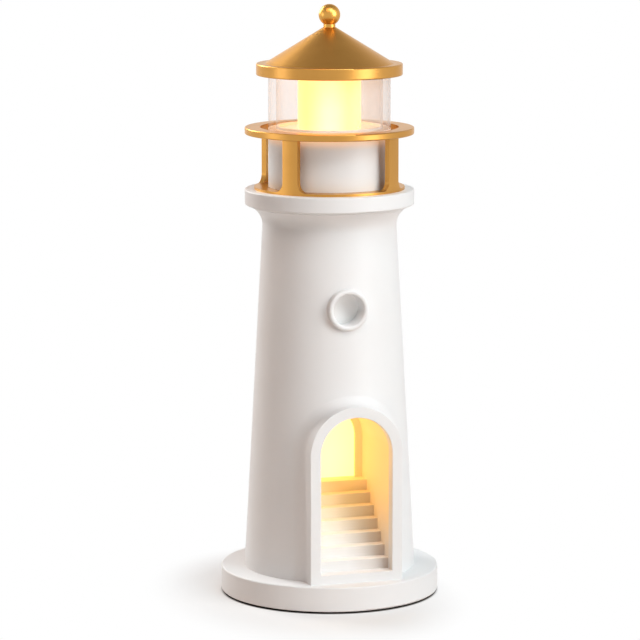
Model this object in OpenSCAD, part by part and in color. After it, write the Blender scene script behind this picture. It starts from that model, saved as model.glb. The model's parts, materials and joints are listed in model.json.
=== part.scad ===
// Battery night light in the shape of a lighthouse.
// The door faces -Y and the light stands on its foot pads at z = 0.

/* [Base] */
// Radius of the base disc
base_r = 48; // [46:0.5:54]
// Height of the base disc's top above the floor
base_top = 11.7; // [11.2:0.1:15]
// Gap between the floor and the base disc's rim
rim_gap = 0.8; // [0.4:0.1:1.2]
// Wall of the base disc's rim
base_wall = 2.4; // [1.8:0.1:3]
// Thickness of the base disc's top plate
base_plate = 2.2; // [1.6:0.1:3]
// Rounding of the base disc's top edge
base_edge = 0.7; // [0.2:0.1:1.2]
// Height of the ring segments that centre the tower on the base disc
spigot_h = 3; // [2:0.5:5]

/* [Bottom cover] */
// Thickness of the bottom cover
cover_t = 2.4; // [2.2:0.1:3]
// Depth of the bottom cover's outer face inside the rim
cover_inset = 0.4; // [0.2:0.1:0.8]
// Gap between the bottom cover and the rim
cover_gap = 0.3; // [0.2:0.05:0.6]
// Radius of a foot pad
pad_r = 4.5; // [3:0.1:5]
// Distance of the foot pads' centres inside the base disc's edge
pad_edge = 9.5; // [8:0.5:11.5]
// Depth of the recess that each foot pad is glued in
pad_recess = 0.4; // [0.2:0.1:0.8]

/* [Battery bay] */
// Radius of a battery cell
cell_r = 5.25; // [5:0.05:5.3]
// Length of a battery cell's can
cell_len = 43.6; // [42:0.1:43.8]
// Length of a battery cell's button
nub_len = 0.9; // [0.7:0.1:1.2]
// Radius of a battery cell's button
nub_r = 1.9; // [1.5:0.1:2.4]
// Gap between neighbouring cells
cell_gap = 0.6; // [0.3:0.1:1]
// Play between the cells and the bay
cell_play = 0.3; // [0.2:0.1:0.6]
// Length of a contact spring under load
spring_len = 4; // [3:0.1:5]
// Thickness of a contact plate
contact_t = 0.4; // [0.3:0.1:0.6]
// Wall of the battery bay
bay_wall = 1.3; // [1:0.1:1.6]

/* [Battery door] */
// Thickness of the battery door
door_t = 2; // [1.8:0.1:2.1]
// Gap round the battery door
door_gap = 0.3; // [0.2:0.05:0.4]
// Radius of the door's hinge pins
hinge_pin_r = 0.6; // [0.5:0.05:0.65]
// Length of a hinge pin beyond the door's end
hinge_pin_len = 1.9; // [1.2:0.1:2.2]
// Width of the latch tongue
latch_w = 12; // [8:0.5:16]
// Length of the latch tongue
latch_len = 7; // [5:0.5:9]

/* [Switch] */
// Distance of the slide switch from the axis
switch_y = 27; // [26:0.5:28]
// Travel of the switch knob to each side
switch_travel = 2; // [1.5:0.1:2.5]
// Length of the switch knob
knob_l = 5; // [4:0.1:6]
// Width of the switch knob
knob_w = 3; // [2.4:0.1:3.6]
// Gap between the floor and the switch knob
knob_gap = 0.5; // [0.4:0.1:1]
// Length of the switch body
switch_l = 13; // [12:0.5:15]
// Width of the switch body
switch_w = 6.4; // [5.6:0.1:7]
// Height of the switch body
switch_h = 4.2; // [3.6:0.1:4.6]

/* [Tower] */
// Height of the tower
tower_h = 160.7; // [156:0.5:180]
// Radius of the tower's foot
tower_foot_r = 37.7; // [37:0.1:39]
// Radius that the taper would reach at the tower's top
tower_top_r = 28.9; // [28.5:0.1:31]
// Wall of the tower
tower_wall = 2.4; // [2:0.1:3]
// Radius of the cove under the gallery
cove_r = 9; // [6:0.5:11]
// Radius of the lip at the tower's top
lip_r = 34.5; // [33:0.5:36]
// Radius of the bore that holds the gallery slab's spigot
neck_bore_r = 26.4; // [25.5:0.1:26.6]
// Distance of the tower's screws inside the tower's foot
tower_screw_edge = 6.2; // [6:0.1:6.5]

/* [Doorway] */
// Half the width of the doorway
doorway_half = 16.1; // [14:0.1:16.5]
// Width of the frame round the doorway
frame_w = 4.8; // [3.5:0.1:5.2]
// Distance of the frame's face from the axis
frame_face = 40; // [39:0.1:42]
// Height of the arch's springing above the base disc
arch_rise = 56.4; // [52:0.2:64]
// Height of the sill above the base disc
sill_h = 4.1; // [3.5:0.1:4.5]
// Depth of the frame's opening in front of the stair insert
frame_depth = 5; // [3.5:0.1:5.5]

/* [Stairs] */
// Number of steps
steps = 7; // [5:1:7]
// Height of a step
riser = 4.77; // [4.4:0.01:5]
// Depth of a step
tread = 5.08; // [4.9:0.02:5.2]
// Distance of the first riser from the axis
stair_start = 34.4; // [33.5:0.1:34.8]
// Thickness of the stairs and the floor
stair_t = 1.6; // [1.2:0.1:2]
// Wall of the stair insert
insert_wall = 1.6; // [1.2:0.1:1.6]
// Distance of the back wall behind the axis
back_wall_y = 3.3; // [2:0.1:5]
// Thickness of the back wall
back_wall_t = 1.8; // [1.2:0.1:2.4]
// Half the width of the arch in the back wall
back_arch_half = 13; // [11:0.1:14]

/* [Stair light] */
// Thickness of the glowing panel
panel_t = 2; // [1:0.1:2.5]
// Depth of the light box behind the back wall
light_box = 8.9; // [7:0.1:11]
// Thickness of the circuit boards
board_t = 1.6; // [1:0.1:1.6]
// Thickness of the light box's cover
box_cover_t = 1.6; // [1.2:0.1:2]

/* [Porthole] */
// Height of the porthole above the base disc
port_rise = 118.3; // [114:0.1:122]
// How far the porthole and its sensor stand off the middle, to the right
port_x = -1.4; // [-2:0.1:2]
// Outer radius of the porthole ring
port_r = 9; // [8.4:0.1:10]
// Radius of the porthole's bore
port_bore_r = 6.9; // [6:0.1:7.2]
// Distance of the ring's face from the axis
port_face = 33.2; // [33:0.1:34.5]
// Depth of the porthole
port_depth = 9.6; // [7:0.1:10]
// Wall of the ring's sleeve
port_sleeve = 0.7; // [0.6:0.1:1.2]
// Thickness of the sensor window
window_t = 1.2; // [0.8:0.1:1.6]
// Length of the sensor window's skirt
window_skirt = 4.9; // [4.8:0.1:6]
// Radius of the motion sensor's can
sensor_r = 4.1; // [3.6:0.1:4.4]
// Height of the motion sensor's can
sensor_h = 4.4; // [3.8:0.1:4.6]
// Width of the sensor board
sensor_board_w = 22; // [18:0.5:26]
// Height of the sensor board
sensor_board_h = 32; // [29:0.5:36]
// Distance from the porthole's centre to a board screw
board_screw_z = 11.7; // [11.6:0.1:12.5]

/* [Gallery] */
// Radius of the gallery slab
slab_r = 37.05; // [36:0.05:40]
// Thickness of the gallery slab's edge
slab_t = 6.8; // [5.5:0.1:8]
// Thickness of the gallery slab's plate
slab_plate = 2.4; // [2:0.1:3]
// Rounding of the gallery slab's edges
slab_edge = 0.6; // [0.2:0.1:1]
// Radius of the lantern drum
drum_r = 26.7; // [25.5:0.1:27]
// Height of the lantern drum
drum_h = 26.5; // [22:0.1:30]
// Wall of the lantern drum
drum_wall = 2.2; // [1.8:0.1:2.6]
// Distance of the drum's screws from the axis
drum_screw_ring = 20; // [18:0.5:20.5]

/* [Rail] */
// Turn of the rail's posts away from the door's diagonals
rail_turn = -3.6; // [-10:0.1:10]
// Outer radius of the rail's foot ring and posts
rail_r = 32.9; // [32:0.1:34]
// Thickness of the rail's foot ring
rail_foot_t = 1.1; // [0.8:0.1:1.6]
// Thickness of a post
post_t = 2.35; // [2:0.05:3]
// Width of a post
post_w = 7.6; // [6:0.1:9]
// Radius of the fillets at a post's foot
post_fillet = 4.3; // [2:0.1:5]
// Outer radius of the rail's top ring
rail_ring_r = 36.95; // [36:0.05:40]
// Inner radius of the rail's top ring
rail_ring_bore = 30.2; // [29:0.1:30.4]
// Thickness of the rail's top ring
rail_ring_t = 3; // [2:0.1:4]
// Height of the top ring's upper face above the drum
rail_ring_proud = 0.5; // [0:0.1:1]
// Rounding of the rail's top ring
rail_edge = 0.5; // [0.2:0.1:1]

/* [Lantern] */
// Height of the clear tube that shows
glass_h = 23.1; // [20:0.1:28]
// Wall of the clear tube
glass_wall = 3.4; // [2:0.1:3.8]
// Radius of the glowing diffuser
diffuser_r = 13.75; // [12.5:0.05:15]
// Wall of the glowing diffuser
diffuser_wall = 1.5; // [1:0.1:2]
// Height of the collars that centre the clear tube and the diffuser
collar_h = 1; // [0.6:0.1:1.5]
// Wall of those collars
collar_wall = 1.1; // [0.8:0.1:1.5]
// Thickness of the lamp board
lamp_board_t = 1.2; // [0.8:0.1:1.6]

/* [Roof] */
// Radius of the roof's brim
brim_r = 31.9; // [31:0.1:34]
// Height of the roof's brim
brim_h = 5.1; // [4.5:0.1:6.5]
// Rounding of the brim's edges
brim_edge = 0.5; // [0.2:0.1:1]
// Wall of the brim
brim_wall = 2.4; // [2:0.1:2.8]
// Radius of the cone's foot
cone_r = 28.1; // [27.5:0.1:28.6]
// Height of the cone
cone_h = 15.6; // [14:0.1:20]
// Radius of the cone's flat top
cone_top_r = 2.7; // [2.6:0.1:3.2]
// Wall of the cone
cone_wall = 2.2; // [1.8:0.1:2.4]
// Thickness of the roof's liner
liner_t = 2.4; // [2.2:0.1:2.8]
// Depth of the liner's groove for the clear tube
groove_depth = 1.2; // [0.8:0.1:1.4]

/* [Finial] */
// Radius of the ball
ball_r = 4.7; // [4:0.1:6]
// Radius of the neck
neck_r = 2.6; // [2:0.1:2.6]
// Height of the neck
neck_h = 1.4; // [1:0.1:2.5]
// Radius of the stud
stud_r = 1.5; // [1.2:0.1:1.6]
// Height of the nut
nut_h = 2.4; // [1.8:0.1:3]

/* [Screws and wires] */
// Radius of the screws' shanks
screw_r = 1.2; // [1:0.05:1.3]
// Radius of the screws' heads
screw_head_r = 2.7; // [2.2:0.1:2.7]
// Height of the screws' heads
screw_head_h = 1.3; // [1:0.1:1.5]
// Distance of the bottom cover's screws inside the base disc's edge
cover_screw_edge = 7; // [6.6:0.1:7.4]
// Radius of a wire
wire_r = 0.65; // [0.4:0.05:0.7]
// Distance between the two wires of a lead
wire_pitch = 1.6; // [1.5:0.1:2]

/* [Hidden] */
$fn = 96;
// Overshoot of a cutting shape past the face that it cuts
cut = 0.5;
// Clearance round pieces that plug into each other
fit = 0.15;
// Running clearance round the hinge pins
hinge_fit = 0.05;
// Radial clearance round screws and studs in their pilot bores
pilot_fit = 0.05;
// Radial clearance round screws in the plate that they hold
screw_hole_fit = 0.45;
// Radius of the bosses for the bottom cover's screws
cover_boss_r = 3.3;
// Radius and height of the bosses in the tower's foot
tower_boss_r = 3.8;
tower_boss_h = 12;
// Radius of the bosses that carry the sensor board
board_boss_r = 2.5;
// Radius of the bosses in the lantern drum
drum_boss_r = 3.4;
// Shank length in the boss of each kind of screw
cover_screw_bite = 4.6;
tower_screw_bite = 8;
drum_screw_bite = 6;
board_screw_bite = 5;
// Shank and head radius, and head height, of the small board screws
board_screw_r = 0.95;
board_screw_head_r = 1.9;
board_screw_head_h = 1.3;
// Spare depth of a pilot bore past the screw's tip
pilot_spare = 0.6;
// Depth of the cross recess and width of its slots in each screw head
recess_depth = 0.6;
recess_w = 0.6;
// Depth of the switch knob's stem in the switch body, and the play round it
stem_depth = 1.3;
stem_play = 0.3;
// Size of the stem along and across the travel
stem_l = 2.4;
stem_w = 1.6;
// Number, width and height of the grip ridges on the latch tongue
grip_count = 3;
grip_w = 0.8;
grip_h = 0.3;
// Width of the slits beside the latch tongue
latch_slit = 0.8;
// Radii of a contact spring at its plate and at the cell
spring_foot_r = 3.4;
spring_tip_r = 2;
// Height and half width of a contact plate at a cell
contact_h = 8;
contact_half = 4;
// Thickness of the stairs measured down from their inner corners
stair_depth = 2.4;
// Size of a light-emitting diode
led_w = 3.5;
led_h = 2.8;
led_t = 1.4;
// Rows and columns of diodes behind the glowing panel
led_rows = 3;
led_cols = 2;
led_row_pitch = 9;
led_col_pitch = 14;
// Diodes round the middle of the lamp board
lamp_led_count = 5;
lamp_led_ring = 7;
// Radius of the wire holes in the plates
wire_hole_r = 2.6;
// Radius of the hole in the gallery slab's plate
slab_hole_r = 5;
// Place of the power lead across the tower on its way up the back
lead_x = 3;
// Gap between a slanted wire's end and the wall that it comes out of
lead_gap = 0.4;
// Turn of the bottom cover's screws away from the foot pads
cover_screw_turn = 22.5;
// Chip, capacitor and sockets on the sensor board
chip_w = 5;
chip_h = 4;
chip_t = 1.5;
can_r = 2.5;
can_h = 6;
socket_w = 7;
socket_h = 4.5;
socket_t = 4;
parts_x = 5.7;
socket_drop = 11.5;
socket_rise = 7.2;
// Half the angle of each ring segment that centres the tower
spigot_angle = 22;
// Wall of those segments
spigot_wall = 1.8;
// Wall and length of the gallery slab's spigot
slab_spigot_wall = 2;
slab_spigot_h = 6;
// Sides of a wire, and the number of steps in each of its bends
wire_sides = 8;
bend_steps = 4;
// Inner radius of the gallery slab's thick edge
slab_core_r = 29.6;
// Gap between the rail's foot ring and the drum
rail_foot_gap = 0.2;
// Ring round the motion sensor's foot
sensor_flange = 0.5;
sensor_flange_t = 0.6;

cover_z = rim_gap + cover_inset;
cover_top = cover_z + cover_t;
plate_z = base_top - base_plate;
pad_ring = base_r - pad_edge;
cover_screw_ring = base_r - cover_screw_edge;
tower_screw_ring = tower_foot_r - tower_screw_edge;
lead_back_y = switch_y;
cover_r = base_r - base_wall - cover_gap;
pad_top = cover_z + pad_recess;
// Battery bay
cell_pitch = 2 * cell_r + cell_gap;
cell_z = cover_z + door_t + cell_play + cell_r;
bay_x = (cell_len + nub_len + spring_len) / 2 + contact_t;
bay_y = cell_pitch + cell_r + cell_play;
bay_ceiling = cell_z + cell_r + cell_play;
bay_top = bay_ceiling + bay_wall;
bay_out_x = bay_x + bay_wall;
bay_out_y = bay_y + bay_wall;
// Battery door
hinge_z = cover_z + door_t / 2;
hinge_y = -(bay_y - door_gap - door_t / 2);
door_x = bay_x - door_gap;
door_far = bay_y - door_gap;
// Tower
tower_top = base_top + tower_h;
taper_len = sqrt(pow(tower_foot_r - tower_top_r, 2) + pow(tower_h, 2));
taper_sin = (tower_foot_r - tower_top_r) / taper_len;
taper_cos = tower_h / taper_len;
cove_z = tower_top - cove_r;
cove_x = tower_radius(cove_z) + cove_r / taper_cos;
cove_start = cove_z - cove_r * taper_sin;
// Doorway and stairs
arch_z = base_top + arch_rise;
sill_z = base_top + sill_h;
frame_half = doorway_half + frame_w;
insert_half = doorway_half + insert_wall;
insert_front = frame_face - frame_depth;
landing_z = sill_z + steps * riser;
box_front = back_wall_y + back_wall_t;
box_back = box_front + light_box;
leg_clear = 0.5;
leg_front = sqrt(pow(tower_radius(sill_z) - tower_wall, 2) - pow(insert_half, 2)) - fit;
// Porthole
port_z = base_top + port_rise;
window_face = port_face - port_depth;
window_r = port_bore_r + port_sleeve + 1;
board_face = window_face - window_t - window_skirt;
board_back = board_face - board_t;
// Gallery and lantern
slab_top = tower_top + slab_t;
slab_ceiling = slab_top - slab_plate;
deck_z = slab_top + drum_h;
ring_top = deck_z + rail_ring_proud;
ring_z = ring_top - rail_ring_t;
glass_bore = drum_r - glass_wall;
diffuser_bore = diffuser_r - diffuser_wall;
lamp_board_r = diffuser_bore - fit - collar_wall - fit;
// Roof
roof_z = deck_z + glass_h;
brim_top = roof_z + brim_h;
cone_top = brim_top + cone_h;
cone_run = (cone_r - cone_top_r) / cone_h;
cone_shift = cone_wall * sqrt(1 + pow(cone_run, 2));
liner_top = roof_z + liner_t;
liner_r = brim_r - brim_wall;
stud_boss_z = cone_top - 5;

// Outer radius of the tower at a height
function tower_radius(z) = tower_foot_r + (tower_top_r - tower_foot_r) * (z - base_top) / tower_h;
// Outer radius of the roof's cone at a height
function cone_radius(z) = cone_r - (z - brim_top) * cone_run;

module rect(x0, x1, y0, y1) {
    translate([x0, y0]) square([x1 - x0, y1 - y0]);
}

// Rectangle whose outer corners are round
module soft_rect(x0, x1, y0, y1, r) {
    rect(x0, x1 - r, y0, y1);
    rect(x0, x1, y0 + r, y1 - r);
    for (y = [y0 + r, y1 - r]) {
        translate([x1 - r, y]) circle(r = r);
    }
}

module block(x0, x1, y0, y1, z0, z1) {
    translate([x0, y0, z0]) cube([x1 - x0, y1 - y0, z1 - z0]);
}

module rod(r, z0, z1) {
    translate([0, 0, z0]) cylinder(r = r, h = z1 - z0);
}

module tube(r_out, r_in, z0, z1) {
    difference() {
        rod(r_out, z0, z1);
        rod(r_in, z0 - cut, z1 + cut);
    }
}

// Places its children at a number of equal turns round the axis
module around(count, radius, start) {
    for (i = [0:count - 1]) {
        rotate([0, 0, start + i * 360 / count]) translate([radius, 0, 0]) children();
    }
}

// Turns its children's +Z to -Y, at the height of the porthole
module facing_front() {
    translate([port_x, 0, port_z]) rotate([90, 0, 0]) children();
}

// Arch standing across the door's axis, from its foot to the springing and round
module arch(half, foot, y0, y1) {
    translate([0, y1, 0])
        rotate([90, 0, 0])
        linear_extrude(height = y1 - y0) {
            rect(-half, half, foot, arch_z);
            translate([0, arch_z]) circle(r = half);
        }
}

// Pan-head screw standing on z = 0 with its head below
module screw(r, bite, head_r, head_h) {
    difference() {
        union() {
            rod(r, 0, bite);
            rod(head_r, -head_h, 0);
        }
        for (turn = [0, 90]) {
            rotate([0, 0, turn])
                block(-head_r / 2, head_r / 2, -recess_w / 2, recess_w / 2, -head_h - cut, recess_depth - head_h);
        }
    }
}

// Points of a smooth route that starts and ends along its first and last legs
function bend(a, b, c, t) = pow(1 - t, 2) * a + 2 * t * (1 - t) * b + pow(t, 2) * c;
function route(legs) = concat(
    [legs[0]],
    [
        for (i = [1:len(legs) - 2])
            for (k = [0:(i == len(legs) - 2 ? bend_steps : bend_steps - 1)])
                bend((legs[i - 1] + legs[i]) / 2, legs[i], (legs[i] + legs[i + 1]) / 2, k / bend_steps)
    ],
    [legs[len(legs) - 1]]
);
function unit(v) = v / norm(v);
function heading(points, i) = unit(points[min(i + 1, len(points) - 1)] - points[max(i - 1, 0)]);

// Wire along a route; across is a direction that the route never follows
module wire(legs, across) {
    spine = route(legs);
    skin = [
        for (i = [0:len(spine) - 1])
            let (
                along = heading(spine, i),
                side = unit(across - (across * along) * along),
                other = cross(along, side)
            )
            for (k = [0:wire_sides - 1])
                let (turn = k * 360 / wire_sides)
                spine[i] + wire_r * (cos(turn) * side + sin(turn) * other)
    ];
    walls = [
        for (i = [0:len(spine) - 2])
            for (k = [0:wire_sides - 1])
                let (
                    a = i * wire_sides + k,
                    b = i * wire_sides + (k + 1) % wire_sides
                )
                each [[a, a + wire_sides, b + wire_sides], [a, b + wire_sides, b]]
    ];
    last = (len(spine) - 1) * wire_sides;
    caps = [
        [for (k = [0:wire_sides - 1]) k],
        [for (k = [wire_sides - 1:-1:0]) last + k],
    ];
    polyhedron(points = skin, faces = concat(walls, caps));
}

// Two wires side by side along X
module lead(legs) {
    for (side = [-1, 1]) {
        translate([side * wire_pitch / 2, 0, 0]) wire(legs, [1, 0, 0]);
    }
}

// Outer form of the tower without its doorway
module tower_form(grow) {
    rotate_extrude()
        difference() {
            polygon([
                [0, base_top],
                [tower_foot_r + grow, base_top],
                [tower_radius(cove_start) + grow, cove_start],
                [lip_r, cove_start],
                [lip_r, tower_top],
                [0, tower_top],
            ]);
            translate([cove_x + grow, cove_z]) circle(r = cove_r);
        }
}

// Hollow inside the tower
module tower_core() {
    neck_z = tower_top - slab_spigot_h - 2;
    rotate_extrude()
        polygon([
            [0, base_top - cut],
            [tower_foot_r - tower_wall, base_top - cut],
            [tower_radius(neck_z) - tower_wall, neck_z],
            [neck_bore_r, neck_z],
            [neck_bore_r, tower_top + cut],
            [0, tower_top + cut],
        ]);
}

module base_disc() {
    color("white")
    difference() {
        union() {
            rotate_extrude() {
                difference() {
                    soft_rect(0, base_r, rim_gap, base_top, base_edge);
                    rect(-cut, base_r - base_wall, rim_gap - cut, plate_z);
                }
            }
            around(4, cover_screw_ring, cover_screw_turn) rod(cover_boss_r, cover_top, plate_z + cut);
            for (side = [0, 90, 180]) {
                rotate([0, 0, side - spigot_angle])
                    rotate_extrude(angle = 2 * spigot_angle)
                    rect(
                        tower_foot_r - tower_wall - 2 * fit - spigot_wall,
                        tower_foot_r - tower_wall - 2 * fit,
                        plate_z + cut,
                        base_top + spigot_h
                    );
            }
        }
        block(-bay_out_x - fit, bay_out_x + fit, -bay_out_y - fit, bay_out_y + fit, plate_z - cut, base_top + cut);
        around(4, cover_screw_ring, cover_screw_turn)
            rod(screw_r + pilot_fit, cover_top - cut, cover_top + cover_screw_bite + pilot_spare);
        around(4, tower_screw_ring, 45) rod(screw_r + screw_hole_fit, plate_z - cut, base_top + cut);
        translate([lead_x, lead_back_y, 0]) rod(wire_hole_r, plate_z - cut, base_top + cut);
    }
}

module bottom_cover() {
    color("gainsboro")
    difference() {
        union() {
            rod(cover_r, cover_z, cover_top);
            block(-bay_out_x, bay_out_x, -bay_out_y, bay_out_y, cover_z + cut, bay_top);
        }
        block(-bay_x, bay_x, -bay_y, bay_y, cover_z - cut, bay_ceiling);
        around(4, pad_ring, 0) rod(pad_r + fit, cover_z - cut, pad_top);
        around(4, cover_screw_ring, cover_screw_turn) {
            rod(screw_r + screw_hole_fit, cover_z - cut, cover_top + cut);
            rod(screw_head_r + fit, cover_z - cut, cover_z + screw_head_h + fit);
        }
        translate([0, switch_y, 0])
            block(-slot_half_l(), slot_half_l(), -slot_half_w(), slot_half_w(), cover_z - cut, cover_top + cut);
        translate([0, hinge_y, hinge_z])
            rotate([0, 90, 0])
            rod(hinge_pin_r + hinge_fit, -hinge_reach() - fit, hinge_reach() + fit);
    }
}

// Half sizes of the knob's slot in the cover
function slot_half_l() = knob_l / 2 + switch_travel + stem_play;
function slot_half_w() = knob_w / 2 + stem_play;
// Distance of a hinge pin's tip from the middle of the door
function hinge_reach() = door_x + hinge_pin_len;

module battery_door() {
    tongue_edge = latch_w / 2;
    color("gainsboro")
    difference() {
        union() {
            block(-door_x, door_x, hinge_y, door_far, cover_z, cover_z + door_t);
            translate([0, hinge_y, hinge_z]) rotate([0, 90, 0]) {
                rod(door_t / 2, -door_x, door_x);
                rod(hinge_pin_r, -hinge_reach(), hinge_reach());
            }
            for (i = [1:grip_count]) {
                y = door_far - 2 * i * grip_w;
                block(-tongue_edge + 1, tongue_edge - 1, y - grip_w / 2, y + grip_w / 2, cover_z - grip_h, cover_z + 1);
            }
        }
        for (side = [-1, 1]) {
            translate([side * tongue_edge, 0, 0])
                block(-latch_slit / 2, latch_slit / 2, door_far - latch_len, door_far + cut, 0, cover_z + door_t + cut);
        }
    }
}

module switch_body() {
    color("silver")
    difference() {
        translate([0, switch_y, 0])
            block(-switch_l / 2, switch_l / 2, -switch_w / 2, switch_w / 2, cover_top, cover_top + switch_h);
        translate([0, switch_y, 0])
            block(
                -stem_l / 2 - switch_travel - stem_play, stem_l / 2 + switch_travel + stem_play,
                -stem_w / 2 - stem_play, stem_w / 2 + stem_play,
                cover_top - cut, cover_top + stem_depth + stem_play
            );
    }
}

module switch_knob() {
    color("dimgray")
    translate([0, switch_y, 0]) {
        block(-knob_l / 2, knob_l / 2, -knob_w / 2, knob_w / 2, knob_gap, cover_top - stem_play);
        block(-stem_l / 2, stem_l / 2, -stem_w / 2, stem_w / 2, cover_z + 1, cover_top + stem_depth);
    }
}

module foot_pad(turn) {
    color("dimgray") rotate([0, 0, turn]) translate([pad_ring, 0, 0]) rod(pad_r, 0, pad_top);
}

// Battery in place number -1, 0 or 1, with its button at the end that faces along dir
module battery(place, dir) {
    can_start = bay_x - contact_t - nub_len;
    color("goldenrod")
    translate([0, place * cell_pitch, cell_z])
        rotate([0, dir * 90, 0]) {
            rod(cell_r, can_start - cell_len, can_start);
            rod(nub_r, can_start, can_start + nub_len);
        }
}

// Contact plate on the bay's end wall, from one place to another
module contact_plate(end, from, to) {
    low = min(from, to) * cell_pitch - contact_half;
    high = max(from, to) * cell_pitch + contact_half;
    translate([end * (bay_x - contact_t / 2), 0, 0])
        block(-contact_t / 2, contact_t / 2, low, high, cell_z - contact_h / 2, cell_z + contact_h / 2);
}

module contact_spring(end, place) {
    translate([end * (bay_x - contact_t), place * cell_pitch, cell_z])
        rotate([0, -end * 90, 0])
        cylinder(r1 = spring_foot_r, r2 = spring_tip_r, h = spring_len);
}

module contact_bridge_right() {
    color("silver") {
        contact_plate(1, -1, 0);
        contact_spring(1, 0);
    }
}

module contact_bridge_left() {
    color("silver") {
        contact_plate(-1, 0, 1);
        contact_spring(-1, 1);
    }
}

module contact_plus() {
    color("silver") contact_plate(1, 1, 1);
}

module contact_minus() {
    color("silver") {
        contact_plate(-1, -1, -1);
        contact_spring(-1, -1);
    }
}

module cover_screws() {
    seat = cover_z + screw_head_h + fit;
    bite = cover_top - seat + cover_screw_bite;
    color("silver")
    around(4, cover_screw_ring, cover_screw_turn) translate([0, 0, seat]) screw(screw_r, bite, screw_head_r, screw_head_h);
}

module tower_screws() {
    bite = base_plate + tower_screw_bite;
    color("silver")
    around(4, tower_screw_ring, 45) translate([0, 0, plate_z]) screw(screw_r, bite, screw_head_r, screw_head_h);
}

// Wires from the battery bay's back wall to the switch
module battery_leads() {
    lead_z = cover_top + switch_h / 2;
    color("firebrick")
    for (side = [-1, 1]) {
        wire(
            [
                [side * (bay_x - 3), bay_out_y + lead_gap, lead_z],
                [side * (bay_x - 4), bay_out_y + 4, lead_z],
                [side * (switch_l / 2 + 4), switch_y, lead_z],
                [side * switch_l / 2, switch_y, lead_z],
            ],
            [0, 0, 1]
        );
    }
}

module tower_shell() {
    color("white")
    difference() {
        union() {
            difference() {
                union() {
                    tower_form(0);
                    arch(frame_half, base_top, -frame_face, 0);
                }
                tower_core();
            }
            around(4, tower_screw_ring, 45) rod(tower_boss_r, base_top, base_top + tower_boss_h);
            facing_front() {
                for (z = [-board_screw_z, board_screw_z]) {
                    wall_y = tower_radius(port_z + z) - tower_wall / 2;
                    translate([0, z, 0]) rod(board_boss_r, board_face, wall_y);
                }
            }
        }
        arch(doorway_half, sill_z, -frame_face - cut, 0);
        arch(insert_half + fit, base_top + insert_lift() - fit, -insert_front, 0);
        around(4, tower_screw_ring, 45)
            rod(screw_r + pilot_fit, base_top - cut, base_top + tower_screw_bite + pilot_spare);
        facing_front() {
            rod(port_bore_r + port_sleeve + fit, board_face, port_face);
            for (z = [-board_screw_z, board_screw_z]) {
                translate([0, z, 0])
                    rod(board_screw_r + pilot_fit, board_face - cut, board_face + board_screw_bite + pilot_spare);
            }
        }
    }
}

// Height of the insert's floor above the base disc
function insert_lift() = sill_h - stair_t;

// Side view of the stairs, floor and landing, in Y and Z
module stair_outline() {
    slope_run = (stair_depth - stair_t) * tread / riser;
    up_steps = [
        for (i = [0:steps - 1])
            for (top = [0, 1]) [i * tread - stair_start, sill_z + (i + top) * riser]
    ];
    polygon(concat(
        [[-insert_front, sill_z - stair_t], [-insert_front, sill_z]],
        up_steps,
        [
            [box_back, landing_z],
            [box_back, landing_z - stair_t],
            [steps * tread + slope_run - stair_start, landing_z - stair_t],
            [slope_run - stair_start, sill_z - stair_t],
        ]
    ));
}

module stair_insert() {
    inner = doorway_half + insert_wall / 2;
    color("ivory")
    difference() {
        union() {
            difference() {
                arch(insert_half, base_top + insert_lift(), -insert_front, box_back);
                arch(doorway_half, base_top - cut, -insert_front - cut, box_back + cut);
            }
            translate([-inner, 0, 0]) rotate([90, 0, 90]) linear_extrude(height = 2 * inner) stair_outline();
            difference() {
                arch(inner, landing_z - stair_t / 2, back_wall_y, box_front);
                arch(back_arch_half, landing_z, back_wall_y - cut, box_front + cut);
            }
            for (side = [-1, 1]) {
                edge = side * (doorway_half + insert_wall / 2);
                block(
                    edge - insert_wall / 2, edge + insert_wall / 2,
                    -leg_front, -bay_out_y - leg_clear,
                    base_top, sill_z
                );
            }
        }
        block(
            -insert_half - cut, insert_half + cut,
            -bay_out_y - leg_clear, box_back + cut,
            base_top - cut, bay_top + leg_clear
        );
    }
}

module stair_light_panel() {
    color("lightyellow") arch(doorway_half - fit, landing_z, box_front, box_front + panel_t);
}

module stair_led_board() {
    color("seagreen") arch(doorway_half - fit, landing_z, box_back - board_t, box_back);
}

module stair_leds() {
    color("khaki")
    for (row = [0:led_rows - 1]) {
        for (col = [0:led_cols - 1]) {
            x = (col - (led_cols - 1) / 2) * led_col_pitch;
            z = landing_z + led_row_pitch * (row + 0.5);
            translate([x, 0, z])
                block(-led_w / 2, led_w / 2, box_back - board_t - led_t, box_back - board_t, -led_h / 2, led_h / 2);
        }
    }
}

module light_box_cover() {
    color("white")
    difference() {
        arch(insert_half, landing_z - stair_t, box_back, box_back + box_cover_t);
        translate([port_x - parts_x, box_back, arch_z])
            rotate([90, 0, 0])
            rod(wire_hole_r, -box_cover_t - cut, cut);
    }
}

module porthole_ring() {
    color("white")
    difference() {
        union() {
            difference() {
                facing_front()
                    rotate_extrude()
                    soft_rect(0, port_r, port_face - port_depth, port_face, port_edge());
                tower_form(fit / 3);
            }
            facing_front() rod(port_bore_r + port_sleeve, window_face, port_face - port_edge());
        }
        facing_front() rod(port_bore_r, window_face - cut, port_face + cut);
    }
}

// Rounding of the porthole ring's face
function port_edge() = (port_r - port_bore_r) / 3;

module sensor_window() {
    color("whitesmoke")
    facing_front() {
        rod(window_r, window_face - window_t, window_face);
        tube(window_r, window_r - window_t, board_face, window_face - window_t / 2);
    }
}

module motion_sensor() {
    color("silver")
    facing_front() {
        rod(sensor_r, board_face, board_face + sensor_h);
        rod(sensor_r + sensor_flange, board_face, board_face + sensor_flange_t);
    }
}

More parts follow.
